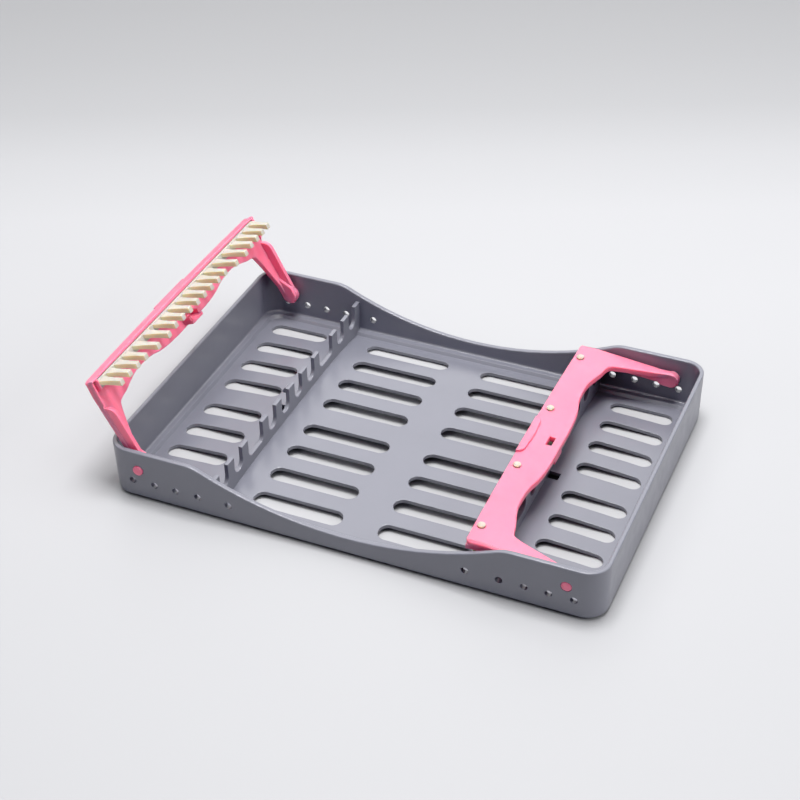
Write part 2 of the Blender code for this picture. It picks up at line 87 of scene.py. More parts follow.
# The floor is a panel that rises inside a level band and laps the ledge.
FLOOR_THICK = 1.65
FLOOR_CROWN, CROWN_POWER = 3.0, 4
FLOOR_LAP = 1.3
FLOOR_HALF_X = HALF_X - END_WALL - LEDGE_WIDTH + FLOOR_LAP
FLOOR_HALF_Y = HALF_Y - SIDE_DRAFT - SIDE_WALL - LEDGE_WIDTH + FLOOR_LAP
FLOOR_RADIUS = 6.5
FLAT_BAND = 3.7
SLOT_RADIUS = 3.8
OUTER_SLOT = (66.4, 93.1)
INNER_SLOT = (7.7, 46.0)
SLOT_ROWS = (9.6, 24.9, 40.2, 55.3)

# Where the walls are sampled: places along half a long side, closest together round the shoulders,
# and the number of steps from an end wall's middle to its corner and round a corner.
WALL_PLACES = (0, 6, 12, 18, 24, 30, 36, 42, 48, 54, 58, 60.4, 61.6, 62.8, 64, 65.2, 66.4, 67.6, 72, 78, 85)
END_STEPS, CORNER_STEPS = 5, 12

# Ribs: each notch is (distance from the middle, width).
RIB_INBOARD, RIB_THICK, RIB_TOP = 55.7, 1.8, 16.9
NOTCH_BOTTOM = 7.9
NARROW_NOTCH, WIDE_NOTCH, WIDE_CORNER = 6.9, 12.9, 3.0
NOTCHES = (
    (6.08, NARROW_NOTCH),
    (18.2, NARROW_NOTCH),
    (33.3, WIDE_NOTCH),
    (48.35, NARROW_NOTCH),
    (60.5, NARROW_NOTCH),
)
BARB_WIDTH, BARB_REACH, BARB_BOTTOM = 4.2, 1.7, 14.1
LATCH_HOLE = (4.6, 4.3)

# Clamp frame, closed, from its pivot: u away from the pivot line, y along it and z up.
# The outlines are (u, y) pairs and the web's arch (u, z) pairs.
BAR_EDGE, BAR_BOW = 41.0, 0.8
BOW_PLACES = (60, 50, 40, 30, 20, 10)
PLATE_TOP, PLATE_THICK, SHEET_EDGE, FLANGE_THINNING = 6.4, 2.8, 0.4, 0.5
PLATE_BOTTOM = PLATE_TOP - PLATE_THICK
SLOPE_START, SLOPE_END, SLOPE_DROP = 33.0, 6.0, 2.97
ARM_OUTSIDE = 67.9
WAVE = ((26.1, 0), (26.1, 11), (27.0, 23), (28.6, 30), (29.1, 36), (28.9, 42), (27.6, 47.5), (26.2, 52))
FLANGE_CORNER = ((25.4, 56.0), (24.7, 57.7), (23.3, 58.65))
FLANGE_INSIDE = ((6.0, 63.7), (1.7, 64.3), (-3.4, 64.4))
WEB = (65.7, 67.7)
WEB_ARCH = ((22.0, -1.3), (24.5, -1.0), (26.2, -0.2), (27.3, 1.2), (27.8, 3.4))
LOBE_RADIUS, BOSS_RADIUS, BOSS_INSIDE, BOSS_REACH = 3.5, 3.1, 64.3, (4.0, 10.0)
SIDE_CHAMFER = 0.5
STUB_RADIUS, STUB_END = 2.1, 71.25
SIDE_FLOAT = 0.35
LIP_INSIDE, LIP_END_INSIDE, LIP_START = 39.5, 67.0, 28.0
LIP_BOTTOM, LIP_END_BOTTOM = 2.1, 2.4
TAB_U, TAB_Y, TAB_BOTTOM = (34.8, 39.8), (65.3, 66.2), 0.9
GRIP_HALF, GRIP_SHOULDER, GRIP_INNER, GRIP_HEIGHT = 12.0, (38.7, 10.8), 37.5, 1.1
WINDOW = (29.4, 31.8)
WINDOW_WIDTH = 5.4
HOUSING_OUTSIDE, HOUSING_WALL, HOUSING_BOTTOM = 27.1, 1.4, -1.8
CHEEK_BOTTOM, CHEEK_END = -1.0, 30.5

# Comb, in the same frame. The teeth past SPLAY_START lean along the bar.
STUD_U = 37.5
STUD_PLACES = (-58.3, -19.7, 19.7, 58.3)
STUD_HOLE, STUD_NECK, STUD_HEAD, STUD_STANDS = 1.5, 1.2, 1.6, 1.3
COMB_TOP = PLATE_BOTTOM - 0.3
STRIP, STRIP_THICK, STRIP_HALF = (35.4, 39.3), 1.8, 65.0
TOOTH_ROOT, TOOTH_TIP, TOOTH_WIDTH = (37.6, 39.28), (34.9, 37.4), 2.7
TOOTH_END, LONG_TOOTH_END = -8.3, -9.8
SPLAY_START, SPLAY_LENGTH, SPLAY_Y, SPLAY_U = 46.0, 18.0, -2.2, 0.6
NARROW_PAIR, WIDE_PAIR = 3.05, 4.3

# Colours between which a material's mottling moves, and the noise levels where it starts and stops.
GREY = ((0.161, 0.163, 0.197), (0.170, 0.172, 0.208))
PINK = ((0.90, 0.176, 0.280), (0.92, 0.194, 0.304))
# The second cream pair is painted bounce light on the teeth's flanks: a warmer, brighter tan that stands in
# for light bounced between the teeth. The first pair is the rubber's colour on its other faces.
CREAM_LIGHT = ((0.46, 0.43, 0.37), (0.51, 0.48, 0.42))
CREAM_FLANK_PAINTED_BOUNCE = ((0.73, 0.64, 0.42), (0.79, 0.70, 0.48))
NOISE_START, NOISE_STOP = 0.3, 0.7
NOISE_ROUGHNESS = 0.55

# The photograph's camera, found from the tray's rims, slots and holes. Its place is from the tray's middle.
CAMERA_FORWARD, CAMERA_RIGHT = (-0.32252, 0.73667, -0.59439), (0.91986, 0.39202, -0.01326)
CAMERA_PLACE = (214.28, -504.51, 430.31)
CAMERA_LENS, CAMERA_SENSOR = 76.1, 36.0

# Lights, in metres and watts: (name, place, size, power, target, sheen only).
LIGHTS = (
    ("overhead", (0.03, 0.05, 1.3), (0.5, 0.45), 19.5, (0.03, 0.05, 0), False),
    ("overhead_soft", (-0.1, 0.0, 1.2), (1.7, 1.6), 11, (-0.05, 0.0, 0), False),
    ("right_fill", (1.35, 0.1, 0.6), (1.2, 1.0), 11, (0, 0, 0), False),
    ("front_fill", (-0.4, -1.3, 0.9), (1.4, 0.8), 2.5, (0, 0, 0), False),
    ("backdrop", (-0.5, 1.2, 0.9), (3.6, 1.3), 30, (0, 0, 0), True),
)
SKY_COLOUR, SKY_STRENGTH = (0.72, 0.80, 1.0, 1), 0.08

# Deep shadows are printed darker than they are: points of the tone curve.
SHADOW_TONES = ((0.015, 0.004), (0.03, 0.013), (0.06, 0.046), (0.12, 0.12))

# The table's colour is painted with light falloff: painted darker away from the camera, between these
# distances from the middle in metres.
TABLE_SIZE, TABLE_ROUGHNESS, TABLE_BLUE = 12, 0.55, 1.03
BACKWARDS = (-0.401, 0.916, 0)
PAINTED_DIMMING_SPAN = (-0.2, 0.45)
PAINTED_FALLOFF_GREYS = (
    (0, 0.392),
    (0.36, 0.411),
    (0.48, 0.426),
    (0.6, 0.426),
    (0.69, 0.396),
    (0.78, 0.341),
    (0.88, 0.317),
    (1, 0.300),
)

tray_low, tray_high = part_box("tray")
TRAY_X = (tray_low.x + tray_high.x) / 2 / MM
OPEN_ANGLE = 113.0


# ---------------------------------------------------------------- helpers


def crown(x, y):
    """Rise of the floor panel above its level band."""
    half_x = FLOOR_HALF_X - FLAT_BAND
    half_y = FLOOR_HALF_Y - FLAT_BAND
    along = max(0.0, 1 - (x / half_x) ** CROWN_POWER)
    across = max(0.0, 1 - (y / half_y) ** CROWN_POWER)
    return FLOOR_CROWN * along * across


def on_side(side, inner, outer):
    """The two distances as places on this side of the middle, in rising order."""
    return sorted((side * inner, side * outer))


def evenly(pitch, count):
    """Places this far apart, this many on each side of the middle."""
    return [step * pitch for step in range(-count, count + 1)]


def mirrored(knots):
    """The other half of a symmetric outline."""
    return [(knot[0], -knot[1]) + tuple(knot[2:]) for knot in reversed(knots)]


def arc(centre, radius, start, end, steps):
    points = []
    for step in range(steps + 1):
        angle = math.radians(start + (end - start) * step / steps)
        points.append((centre[0] + radius * math.cos(angle), centre[1] + radius * math.sin(angle)))
    return points


def evaluated(holder):
    """The shape that an object has once its curve or modifiers are worked out."""
    mesh = bpy.data.meshes.new_from_object(holder.evaluated_get(bpy.context.evaluated_depsgraph_get()))
    shape = bmesh.new()
    shape.from_mesh(mesh)
    bpy.data.meshes.remove(mesh)
    return shape


def add_spline(curve, knots):
    """A closed outline: (a, b) is a corner and (a, b, True) is a smooth point."""
    spline = curve.splines.new("BEZIER")
    spline.bezier_points.add(len(knots) - 1)
    spline.use_cyclic_u = True
    for point, knot in zip(spline.bezier_points, knots):
        point.co = (knot[0], knot[1], 0)
        kind = "AUTO" if len(knot) > 2 else "VECTOR"
        point.handle_left_type = kind
        point.handle_right_type = kind


def plate(outlines, low, high, edge, plane="XY", steps=8, rounds=2):
    """Outlines (the outside first, then the holes) extruded from low to high, all edges rounded."""
    curve = bpy.data.curves.new("outline", "CURVE")
    curve.dimensions = "2D"
    curve.fill_mode = "BOTH"
    curve.resolution_u = steps
    curve.extrude = (high - low) / 2 - edge
    curve.bevel_depth = edge
    curve.bevel_resolution = rounds
    curve.offset = -edge
    for knots in outlines:
        add_spline(curve, knots)
    holder = bpy.data.objects.new("outline", curve)
    bpy.context.scene.collection.objects.link(holder)
    shape = evaluated(holder)
    bpy.data.objects.remove(holder)
    bpy.data.curves.remove(curve)
    bmesh.ops.remove_doubles(shape, verts=shape.verts, dist=0.001)
    bmesh.ops.translate(shape, vec=(0, 0, (low + high) / 2), verts=shape.verts)
    for vert in shape.verts:
        a, b, c = vert.co
        if plane == "XZ":
            vert.co = (a, c, b)
        if plane == "YZ":
            vert.co = (c, a, b)
    return shape


def rounded_box(x, y, z, edge, segments=2):
    """A box between these (low, high) places, its edges rounded."""
    shape = bmesh.new()
    bmesh.ops.create_cube(shape, size=1.0)
    bmesh.ops.scale(shape, vec=(x[1] - x[0], y[1] - y[0], z[1] - z[0]), verts=shape.verts)
    middle = ((x[0] + x[1]) / 2, (y[0] + y[1]) / 2, (z[0] + z[1]) / 2)
    bmesh.ops.translate(shape, vec=middle, verts=shape.verts)
    bmesh.ops.bevel(shape, geom=shape.edges[:], offset=edge, segments=segments, profile=0.5, affect="EDGES")
    return shape


def turned(profile, centre, axis="Z", steps=32):
    """A solid of revolution. The profile is (radius, height) from one end of the axis to the other."""
    shape = bmesh.new()
    rings = []
    for radius, height in profile:
        ring = []
        for step in range(steps if radius > 0 else 1):
            angle = 2 * math.pi * step / steps
            ring.append(shape.verts.new((radius * math.cos(angle), radius * math.sin(angle), height)))
        rings.append(ring)
    for low, high in zip(rings, rings[1:]):
        for step in range(steps):
            after = (step + 1) % steps
            corners = [low[step % len(low)], low[after % len(low)]]
            corners += [high[after % len(high)], high[step % len(high)]]
            unique = list(dict.fromkeys(corners))
            if len(unique) > 2:
                shape.faces.new(unique)
    for ring, flip in ((rings[0], True), (rings[-1], False)):
        if len(ring) > 1:
            shape.faces.new(list(reversed(ring)) if flip else ring)
    if axis == "Y":
        lay = Matrix.Rotation(-math.pi / 2, 3, "X")
        bmesh.ops.rotate(shape, cent=(0, 0, 0), matrix=lay, verts=shape.verts)
    bmesh.ops.translate(shape, vec=centre, verts=shape.verts)
    return shape


def rounded_rod(radius, low, high, edge):
    """Profile of a rod with rounded ends, for turned()."""
    foot = [(radius - edge + x, low + edge + z) for x, z in arc((0, 0), edge, -90, 0, 3)]
    head = [(radius - edge + x, high - edge + z) for x, z in arc((0, 0), edge, 0, 90, 3)]
    return foot + head


def joined(shapes):
    """All the shapes in one."""
    whole = bmesh.new()
    for shape in shapes:
        mesh = bpy.data.meshes.new("part")
        shape.to_mesh(mesh)
        shape.free()
        whole.from_mesh(mesh)
        bpy.data.meshes.remove(mesh)
    return whole


def as_object(name, shape):
    bmesh.ops.recalc_face_normals(shape, faces=shape.faces)
    mesh = bpy.data.meshes.new(name)
    shape.to_mesh(mesh)
    shape.free()
    made = bpy.data.objects.new(name, mesh)
    bpy.context.scene.collection.objects.link(made)
    return made


def carve(shape, cutters):
    """The shape with the cutters taken out."""
    body = as_object("body", shape)
    tool = as_object("tool", joined(cutters))
    modifier = body.modifiers.new("cut", "BOOLEAN")
    modifier.operation = "DIFFERENCE"
    modifier.solver = "EXACT"
    modifier.object = tool
    result = evaluated(body)
    bpy.data.objects.remove(body)
    bpy.data.objects.remove(tool)
    return result


def slice_up(shape, axis, places):
    """Cuts the faces along planes, so that the shape can be bent there."""
    normal = Vector((0, 0, 0))
    normal[axis] = 1
    for place in places:
        everything = shape.verts[:] + shape.edges[:] + shape.faces[:]
        bmesh.ops.bisect_plane(shape, geom=everything, plane_co=normal * place, plane_no=normal, dist=0.0005)


def piece(name, shape, place, body, material, sharp=42):
    """Finishes a shape as a shown piece: into metres and the row frame, smooth shading, material and body."""
    shape.transform(Matrix.Scale(MM, 4))
    shape.transform(place)
    bmesh.ops.recalc_face_normals(shape, faces=shape.faces)
    for face in shape.faces:
        face.smooth = True
    for edge in shape.edges:
        edge.smooth = len(edge.link_faces) == 2 and edge.calc_face_angle() < math.radians(sharp)
    mesh = bpy.data.meshes.new(name)
    shape.to_mesh(mesh)
    shape.free()
    made = bpy.data.objects.new(name, mesh)
    bpy.context.scene.collection.objects.link(made)
    weighted = made.modifiers.new("weighted_normals", "WEIGHTED_NORMAL")
    weighted.keep_sharp = True
    made.data.materials.append(material)
    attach(made, body)
    return made


# ---------------------------------------------------------------- materials


class Nodes:
    """A small helper for building node materials. Underscores in the names of inputs stand for spaces."""

    def __init__(self, name, **inputs):
        self.material = bpy.data.materials.new(name)
        self.material.use_nodes = True
        self.tree = self.material.node_tree
        self.shader = self.tree.nodes["Principled BSDF"]
        self.coords = self.add("ShaderNodeTexCoord")
        self.preset(self.shader, **inputs)

    def add(self, kind, **settings):
        node = self.tree.nodes.new(kind)
        for key, value in settings.items():
            setattr(node, key, value)
        return node

    def preset(self, node, **inputs):
        for key, value in inputs.items():
            node.inputs[key.replace("_", " ")].default_value = value

    def link(self, source, target):
        self.tree.links.new(source, target)

    def noise(self, scale, detail):
        node = self.add("ShaderNodeTexNoise")
        self.preset(node, Scale=scale, Detail=detail, Roughness=NOISE_ROUGHNESS)
        self.link(self.coords.outputs["Object"], node.inputs["Vector"])
        return node.outputs["Fac"]

    def spread(self, source, low, high, start=NOISE_START, end=NOISE_STOP):
        """Maps a grey value between start and end onto low to high."""
        node = self.add("ShaderNodeMapRange")
        self.preset(node, From_Min=start, From_Max=end, To_Min=low, To_Max=high)
        self.link(source, node.inputs["Value"])
        return node.outputs["Result"]

    def colours(self, source, stops):
        node = self.add("ShaderNodeValToRGB")
        ramp = node.color_ramp
        ramp.elements[0].position = stops[0][0]
        ramp.elements[0].color = (*stops[0][1], 1)
        ramp.elements[1].position = stops[-1][0]
        ramp.elements[1].color = (*stops[-1][1], 1)
        for position, colour in stops[1:-1]:
            ramp.elements.new(position).color = (*colour, 1)
        self.link(source, node.inputs["Fac"])
        return node.outputs["Color"]

    def mottled(self, noise, pair):
        """Moves between two colours with the noise."""
        return self.colours(noise, [(NOISE_START, pair[0]), (NOISE_STOP, pair[1])])

    def bump(self, heights):
        """Chains (height, strength, distance) bumps into the shader's normal."""
        last = None
        for height, strength, distance in heights:
            node = self.add("ShaderNodeBump")
            self.preset(node, Strength=strength, Distance=distance)
            self.link(height, node.inputs["Height"])
            if last:
                self.link(last.outputs["Normal"], node.inputs["Normal"])
            last = node
        self.link(last.outputs["Normal"], self.shader.inputs["Normal"])


def grey_plastic():
    """Filled grey plastic: faint flow mottling, a fine spark-eroded grain and slight rub marks."""
    n = Nodes("grey_plastic", Specular_IOR_Level=0.75)
    n.link(n.mottled(n.noise(55, 4), GREY), n.shader.inputs["Base Color"])
    n.link(n.spread(n.noise(180, 1), 0.29, 0.35), n.shader.inputs["Roughness"])
    n.bump([(n.noise(1500, 1), 0.04, 0.00006), (n.noise(90, 1), 0.02, 0.0003)])
    return n.material


def pink_plastic():
    """Pink plastic: satin, slightly translucent, with a fine grain."""
    n = Nodes("pink_plastic", Specular_IOR_Level=0.55, Subsurface_Weight=0.5, Subsurface_Scale=1.0)
    n.preset(n.shader, Subsurface_Radius=(0.0040, 0.0006, 0.0008))
    n.link(n.mottled(n.noise(70, 4), PINK), n.shader.inputs["Base Color"])
    n.link(n.spread(n.noise(300, 5), 0.34, 0.42), n.shader.inputs["Roughness"])
    n.bump([(n.noise(2400, 2), 0.08, 0.00005), (n.noise(140, 3), 0.04, 0.0003)])
    return n.material


def cream_rubber():
    """Silicone: waxy, dull, with a faint pitted skin; the teeth's flanks get painted bounce light, a warmer
    tan that stands in for light bounced between the teeth.
    """
    n = Nodes("cream_rubber", Subsurface_Weight=0.4, Subsurface_Scale=1.0)
    n.preset(n.shader, Subsurface_Radius=(0.0030, 0.0018, 0.0008))
    # Painted bounce light: faces turned along the bar, the teeth's flanks, are mixed towards a warmer tan.
    parts = n.add("ShaderNodeSeparateXYZ")
    n.link(n.coords.outputs["Normal"], parts.inputs[0])
    painted_bounce_flank_mask = n.add("ShaderNodeMath", operation="ABSOLUTE")
    n.link(parts.outputs["Y"], painted_bounce_flank_mask.inputs[0])
    mottle = n.noise(110, 4)
    mix = n.add("ShaderNodeMix", data_type="RGBA")
    factor, first, second, result = mix.inputs[0], mix.inputs[6], mix.inputs[7], mix.outputs[2]
    n.link(n.spread(painted_bounce_flank_mask.outputs[0], 0.0, 1.0, 0.5, 0.9), factor)
    n.link(n.mottled(mottle, CREAM_LIGHT), first)
    n.link(n.mottled(mottle, CREAM_FLANK_PAINTED_BOUNCE), second)
    n.link(result, n.shader.inputs["Base Color"])
    n.link(n.spread(n.noise(420, 4), 0.55, 0.72), n.shader.inputs["Roughness"])
    n.bump([(n.noise(1800, 3), 0.12, 0.00008)])
    return n.material


# ---------------------------------------------------------------- tray


def rim_height(x):
    """Top of the long walls: flat ends, rounded shoulders and a hollow middle."""
    x = abs(x)
    bowl_z = SCOOP_FLOOR + SCOOP_RADIUS
    shoulder_z = RIM - SHOULDER_RADIUS
    shoulder_x = math.sqrt((SCOOP_RADIUS + SHOULDER_RADIUS) ** 2 - (bowl_z - shoulder_z) ** 2)
    meet = shoulder_x * SCOOP_RADIUS / (SCOOP_RADIUS + SHOULDER_RADIUS)
    if x <= meet:
        return bowl_z - math.sqrt(SCOOP_RADIUS**2 - x**2)
    if x <= shoulder_x:
        return shoulder_z + math.sqrt(SHOULDER_RADIUS**2 - (x - shoulder_x) ** 2)
    return RIM


def wall_section(rim):
    """The wall's cross-section where its rim is this high: (inset on sides, inset on ends, radius, z)."""
    round_rim, round_foot, fillet, lip = 0.55, 0.7, 0.9, 0.35
    rows, corner_ease, thin_edge = 6, 0.6, 0.25
    points = []

    def at(side, end, radius, z, drafted=True):
        lean = (RIM - z) / (RIM - WALL_FOOT) if drafted else 1.0
        points.append((side + SIDE_DRAFT * lean, end + END_DRAFT * lean, radius, z))

    for a, b in arc((round_foot, WALL_FOOT + round_foot), round_foot, 270, 180, 4):
        at(a, a, OUTER_RADIUS - a, b)
    start, stop = WALL_FOOT + round_foot, rim - round_rim
    for row in range(1, rows):
        at(0, 0, OUTER_RADIUS, start + (stop - start) * row / rows)
    for a, b in arc((round_rim, rim - round_rim), round_rim, 180, 90, 4):
        at(a, a, OUTER_RADIUS - a, b)
    for a, b in arc((-round_rim, rim - round_rim), round_rim, 90, 0, 4):
        at(SIDE_WALL + a, END_WALL + a, INNER_RADIUS - a, b)
    start, stop = rim - round_rim, LEDGE_TOP + fillet
    for row in range(1, rows):
        at(SIDE_WALL, END_WALL, INNER_RADIUS, start + (stop - start) * row / rows)
    for a, b in arc((fillet, LEDGE_TOP + fillet), fillet, 180, 270, 4):
        at(SIDE_WALL + a, END_WALL + a, INNER_RADIUS - a * corner_ease, b)
    for a, b in arc((LEDGE_WIDTH - lip, LEDGE_TOP - lip), lip, 90, 50, 3):
        at(SIDE_WALL + a, END_WALL + a, LEDGE_RADIUS, b, False)
    reach = LEDGE_WIDTH + LEDGE_SLOPE
    at(SIDE_WALL + reach, END_WALL + reach, LEDGE_RADIUS, WALL_FOOT + thin_edge, False)
    at(SIDE_WALL + reach, END_WALL + reach, LEDGE_RADIUS, WALL_FOOT, False)
    return points


def wall_stations():
    """Places round the tray, anticlockwise: (kind, place, side or corner, x at which the rim is read)."""
    along = [-x for x in reversed(WALL_PLACES[1:])] + list(WALL_PLACES)
    ends = [step / END_STEPS for step in range(1 - END_STEPS, END_STEPS)]
    corner = [step * 90 / CORNER_STEPS for step in range(CORNER_STEPS + 1)]
    reach = HALF_X - OUTER_RADIUS
    stations = [("x", x / reach, -1, x) for x in along]
    stations += [("corner", angle - 90, (1, -1), reach) for angle in corner]
    stations += [("y", t, 1, reach) for t in ends]
    stations += [("corner", angle, (1, 1), reach) for angle in corner]
    stations += [("x", -x / reach, 1, x) for x in along]
    stations += [("corner", angle + 90, (-1, 1), reach) for angle in corner]
    stations += [("y", -t, -1, reach) for t in ends]
    stations += [("corner", angle + 180, (-1, -1), reach) for angle in corner]
    return stations


def station_point(station, side, end, radius):
    """Where a point of the wall's section comes at this station."""
    kind, value, sign, _ = station
    half_x, half_y = HALF_X - end, HALF_Y - side
    if kind == "x":
        return (value * (half_x - radius), sign * half_y)
    if kind == "y":
        return (sign * half_x, value * (half_y - radius))
    angle = math.radians(value)
    centre_x, centre_y = sign[0] * (half_x - radius), sign[1] * (half_y - radius)
    return (centre_x + radius * math.cos(angle), centre_y + radius * math.sin(angle))


def flared_hole(radius, x, z, flare):
    """A cutter through both long walls, opened out slightly where it meets each of their four faces."""
    overshoot, wide = 4, radius + flare
    outer = HALF_Y - SIDE_DRAFT * (RIM - z) / (RIM - WALL_FOOT)
    inner = outer - SIDE_WALL
    profile = [
        (wide, -outer - overshoot),
        (wide, -outer),
        (radius, -outer + flare),
        (radius, -inner - flare),
        (wide, -inner),
        (wide, inner),
        (radius, inner + flare),
        (radius, outer - flare),
        (wide, outer),
        (wide, outer + overshoot),
    ]
    return turned(profile, (x, 0, z), "Y", 28)


def make_walls():
    """The walls and their ledge, lofted round the tray, with vents and pivot holes in the long sides."""
    shape = bmesh.new()
    columns = []
    for station in wall_stations():
        column = []
        for side, end, radius, z in wall_section(rim_height(station[3])):
            column.append(shape.verts.new((*station_point(station, side, end, radius), z)))
        columns.append(column)
    for column, after in zip(columns, columns[1:] + columns[:1]):
        for row in range(len(column)):
            up = (row + 1) % len(column)
            shape.faces.new((column[row], after[row], after[up], column[up]))
    bmesh.ops.recalc_face_normals(shape, faces=shape.faces)
    holes = []
    for side in (-1, 1):
        for place in VENT_PLACES:
            holes.append(flared_hole(VENT_RADIUS, side * place, VENT_HEIGHT, VENT_FLARE))
        holes.append(flared_hole(PIVOT_HOLE, side * PIVOT_X, PIVOT_HEIGHT, PIVOT_FLARE))
    return carve(shape, holes)


def slot_outline(start, end, y, steps=14):
    left = arc((start + SLOT_RADIUS, y), SLOT_RADIUS, 90, 270, steps)
    right = arc((end - SLOT_RADIUS, y), SLOT_RADIUS, -90, 90, steps)
    return left + right


def rounded_rectangle(half_x, half_y, radius, steps=8):
    points = []
    for sx, sy, start in ((1, 1, 0), (-1, 1, 90), (-1, -1, 180), (1, -1, 270)):
        centre = (sx * (half_x - radius), sy * (half_y - radius))
        points += arc(centre, radius, start, start + 90, steps)
    return points


def make_floor():
    """The crowned floor panel with its slots, latch holes and level foot band."""
    edge, under_rib = 0.22, 0.5
    outlines = [rounded_rectangle(FLOOR_HALF_X, FLOOR_HALF_Y, FLOOR_RADIUS)]
    for slot in (OUTER_SLOT, INNER_SLOT):
        for side in (-1, 1):
            low, high = on_side(side, *slot)
            for row in SLOT_ROWS:
                outlines += [slot_outline(low, high, row), slot_outline(low, high, -row)]
    for side in (-1, 1):
        root = RIB_INBOARD + RIB_THICK
        low, high = on_side(side, root - under_rib, root + LATCH_HOLE[0])
        w = LATCH_HOLE[1] / 2
        outlines.append([(low, -w), (high, -w), (high, w), (low, w)])
    shape = plate(outlines, 0, FLOOR_THICK, edge, "XY", 2, 1)
    band = FLOOR_HALF_X - FLAT_BAND
    slice_up(shape, 0, evenly(6.5, 14) + [-band, band])
    slice_up(shape, 1, evenly(6.3, 10))
    for vert in shape.verts:
        vert.co.z += crown(vert.co.x, vert.co.y)
    return shape


def notch_outline(centre, width):
    half = width / 2
    corner = half if width == NARROW_NOTCH else WIDE_CORNER
    bottom = NOTCH_BOTTOM + corner
    low = arc((centre - half + corner, bottom), corner, 180, 270, 8)
    high = arc((centre + half - corner, bottom), corner, 270, 360, 8)
    if corner == half:
        high = high[1:]
    return [(centre - half, RIB_TOP)] + low + high + [(centre + half, RIB_TOP)]


def make_rib(side):
    """A notched rib that runs into the long walls, the ledge and the crowned floor."""
    sink, edge, steps = 0.9, 0.25, 6
    half = HALF_Y - SIDE_DRAFT - SIDE_WALL + sink
    foot = LEDGE_TOP - sink
    outline = [(-half, RIB_TOP)]
    for centre, width in sorted([(-y, width) for y, width in NOTCHES] + list(NOTCHES)):
        outline += notch_outline(centre, width)
    outline += [(half, RIB_TOP), (half, foot), (half - LEDGE_WIDTH, foot)]
    reach = half - LEDGE_WIDTH - LEDGE_SLOPE
    middle = RIB_INBOARD + RIB_THICK / 2
    for step in range(2 * steps + 1):
        y = reach * (1 - step / steps)
        outline.append((y, crown(middle, y) + FLOOR_THICK / 2))
    outline += [(-half + LEDGE_WIDTH, foot), (-half, foot)]
    low, high = on_side(side, RIB_INBOARD, RIB_INBOARD + RIB_THICK)
    return plate([outline], low, high, edge, "YZ", 1, 2)


def make_barb(side):
    """The hook on the rib's outboard face that holds a closed clamp."""
    sink, tip_height, shoulder, edge = 0.4, 0.9, 0.7, 0.15
    root = RIB_INBOARD + RIB_THICK - sink
    tip = RIB_INBOARD + RIB_THICK + BARB_REACH
    outline = [
        (root, BARB_BOTTOM),
        (tip, BARB_BOTTOM),
        (tip, BARB_BOTTOM + tip_height),
        (root + shoulder, RIB_TOP),
        (root, RIB_TOP),
    ]
    outline = [(side * x, z) for x, z in outline]
    return plate([outline], -BARB_WIDTH / 2, BARB_WIDTH / 2, edge, "XZ", 1, 1)


def make_tray(material):
    place = Matrix.Translation((TRAY_X * MM, 0, 0))
    walls = piece("tray_walls", make_walls(), place, "tray", material)
    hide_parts("tray")
    piece("tray_floor", make_floor(), place, "tray", material)
    for side, end in ((-1, "left"), (1, "right")):
        piece(f"tray_{end}_rib", make_rib(side), place, "tray", material)
        piece(f"tray_{end}_barb", make_barb(side), place, "tray", material)


# ---------------------------------------------------------------- clamp frames


def bar_edge(y):
    """The bar's long edge, slightly bowed."""
    return BAR_EDGE - BAR_BOW * (y / ARM_OUTSIDE) ** 2


def frame_outline():
    """The bar and the two flanges from above, with the outer corners cut round."""
    corner = bar_edge(ARM_OUTSIDE)
    start, cut = 1.5, 0.45
    half = [(u, y, True) for u, y in WAVE[1:] + FLANGE_CORNER]
    half += list(FLANGE_INSIDE) + [(FLANGE_INSIDE[-1][0], ARM_OUTSIDE)]
    half += [(corner - start, ARM_OUTSIDE), (corner - cut, ARM_OUTSIDE - cut)]
    half += [(bar_edge(y), y) for y in (ARM_OUTSIDE - start, *BOW_PLACES)]
    return [(*WAVE[0], True)] + half + [(BAR_EDGE, 0)] + mirrored(half)


def arm_slope(u):
    """How far along its fall the sheet is at this distance from the pivot, from 0 at the bar to 1."""
    return min(1.0, max(0.0, (SLOPE_START - u) / (SLOPE_START - SLOPE_END)))


def shape_sheet(vert):
    """Chamfers the sheet along the arms' outsides, thins the flanges, lets them fall and wraps the lobes."""
    near = 0.01
    u = vert.co.x
    past = (abs(vert.co.y) - ARM_OUTSIDE + SHEET_EDGE) / SHEET_EDGE
    if vert.co.z > PLATE_TOP - SHEET_EDGE - near and past > -near:
        vert.co.z -= SIDE_CHAMFER * past
        vert.co.y -= math.copysign(SIDE_CHAMFER * (1 - past), vert.co.y)
    if vert.co.z < PLATE_TOP - PLATE_THICK / 2:
        vert.co.z += FLANGE_THINNING * arm_slope(u)
    vert.co.z -= SLOPE_DROP * arm_slope(u)
    if u < 0:
        vert.co.z -= LOBE_RADIUS - math.sqrt(max(LOBE_RADIUS**2 - u**2, 0.0))


def make_sheet():
    """The bar and the arms' flanges in one sheet that falls towards the pivots and wraps round the lobes."""
    circles = [arc((STUD_U, y), STUD_HOLE, 0, 345, 23) for y in STUD_PLACES]
    w = WINDOW_WIDTH / 2
    window = [(WINDOW[0], -w), (WINDOW[1], -w), (WINDOW[1], w), (WINDOW[0], w)]
    shape = plate([frame_outline()] + circles + [window], PLATE_BOTTOM, PLATE_TOP, SHEET_EDGE)
    round_lobe = [step * 0.4 for step in range(-8, 1)]
    slice_up(shape, 0, round_lobe + [SLOPE_END, SLOPE_START])
    for vert in shape.verts:
        shape_sheet(vert)
    return shape


def both_arms(outline, inner, outer, edge):
    """The same upright plate on both arms."""
    spans = ((inner, outer), (-outer, -inner))
    return [plate([outline], low, high, edge, "XZ") for low, high in spans]


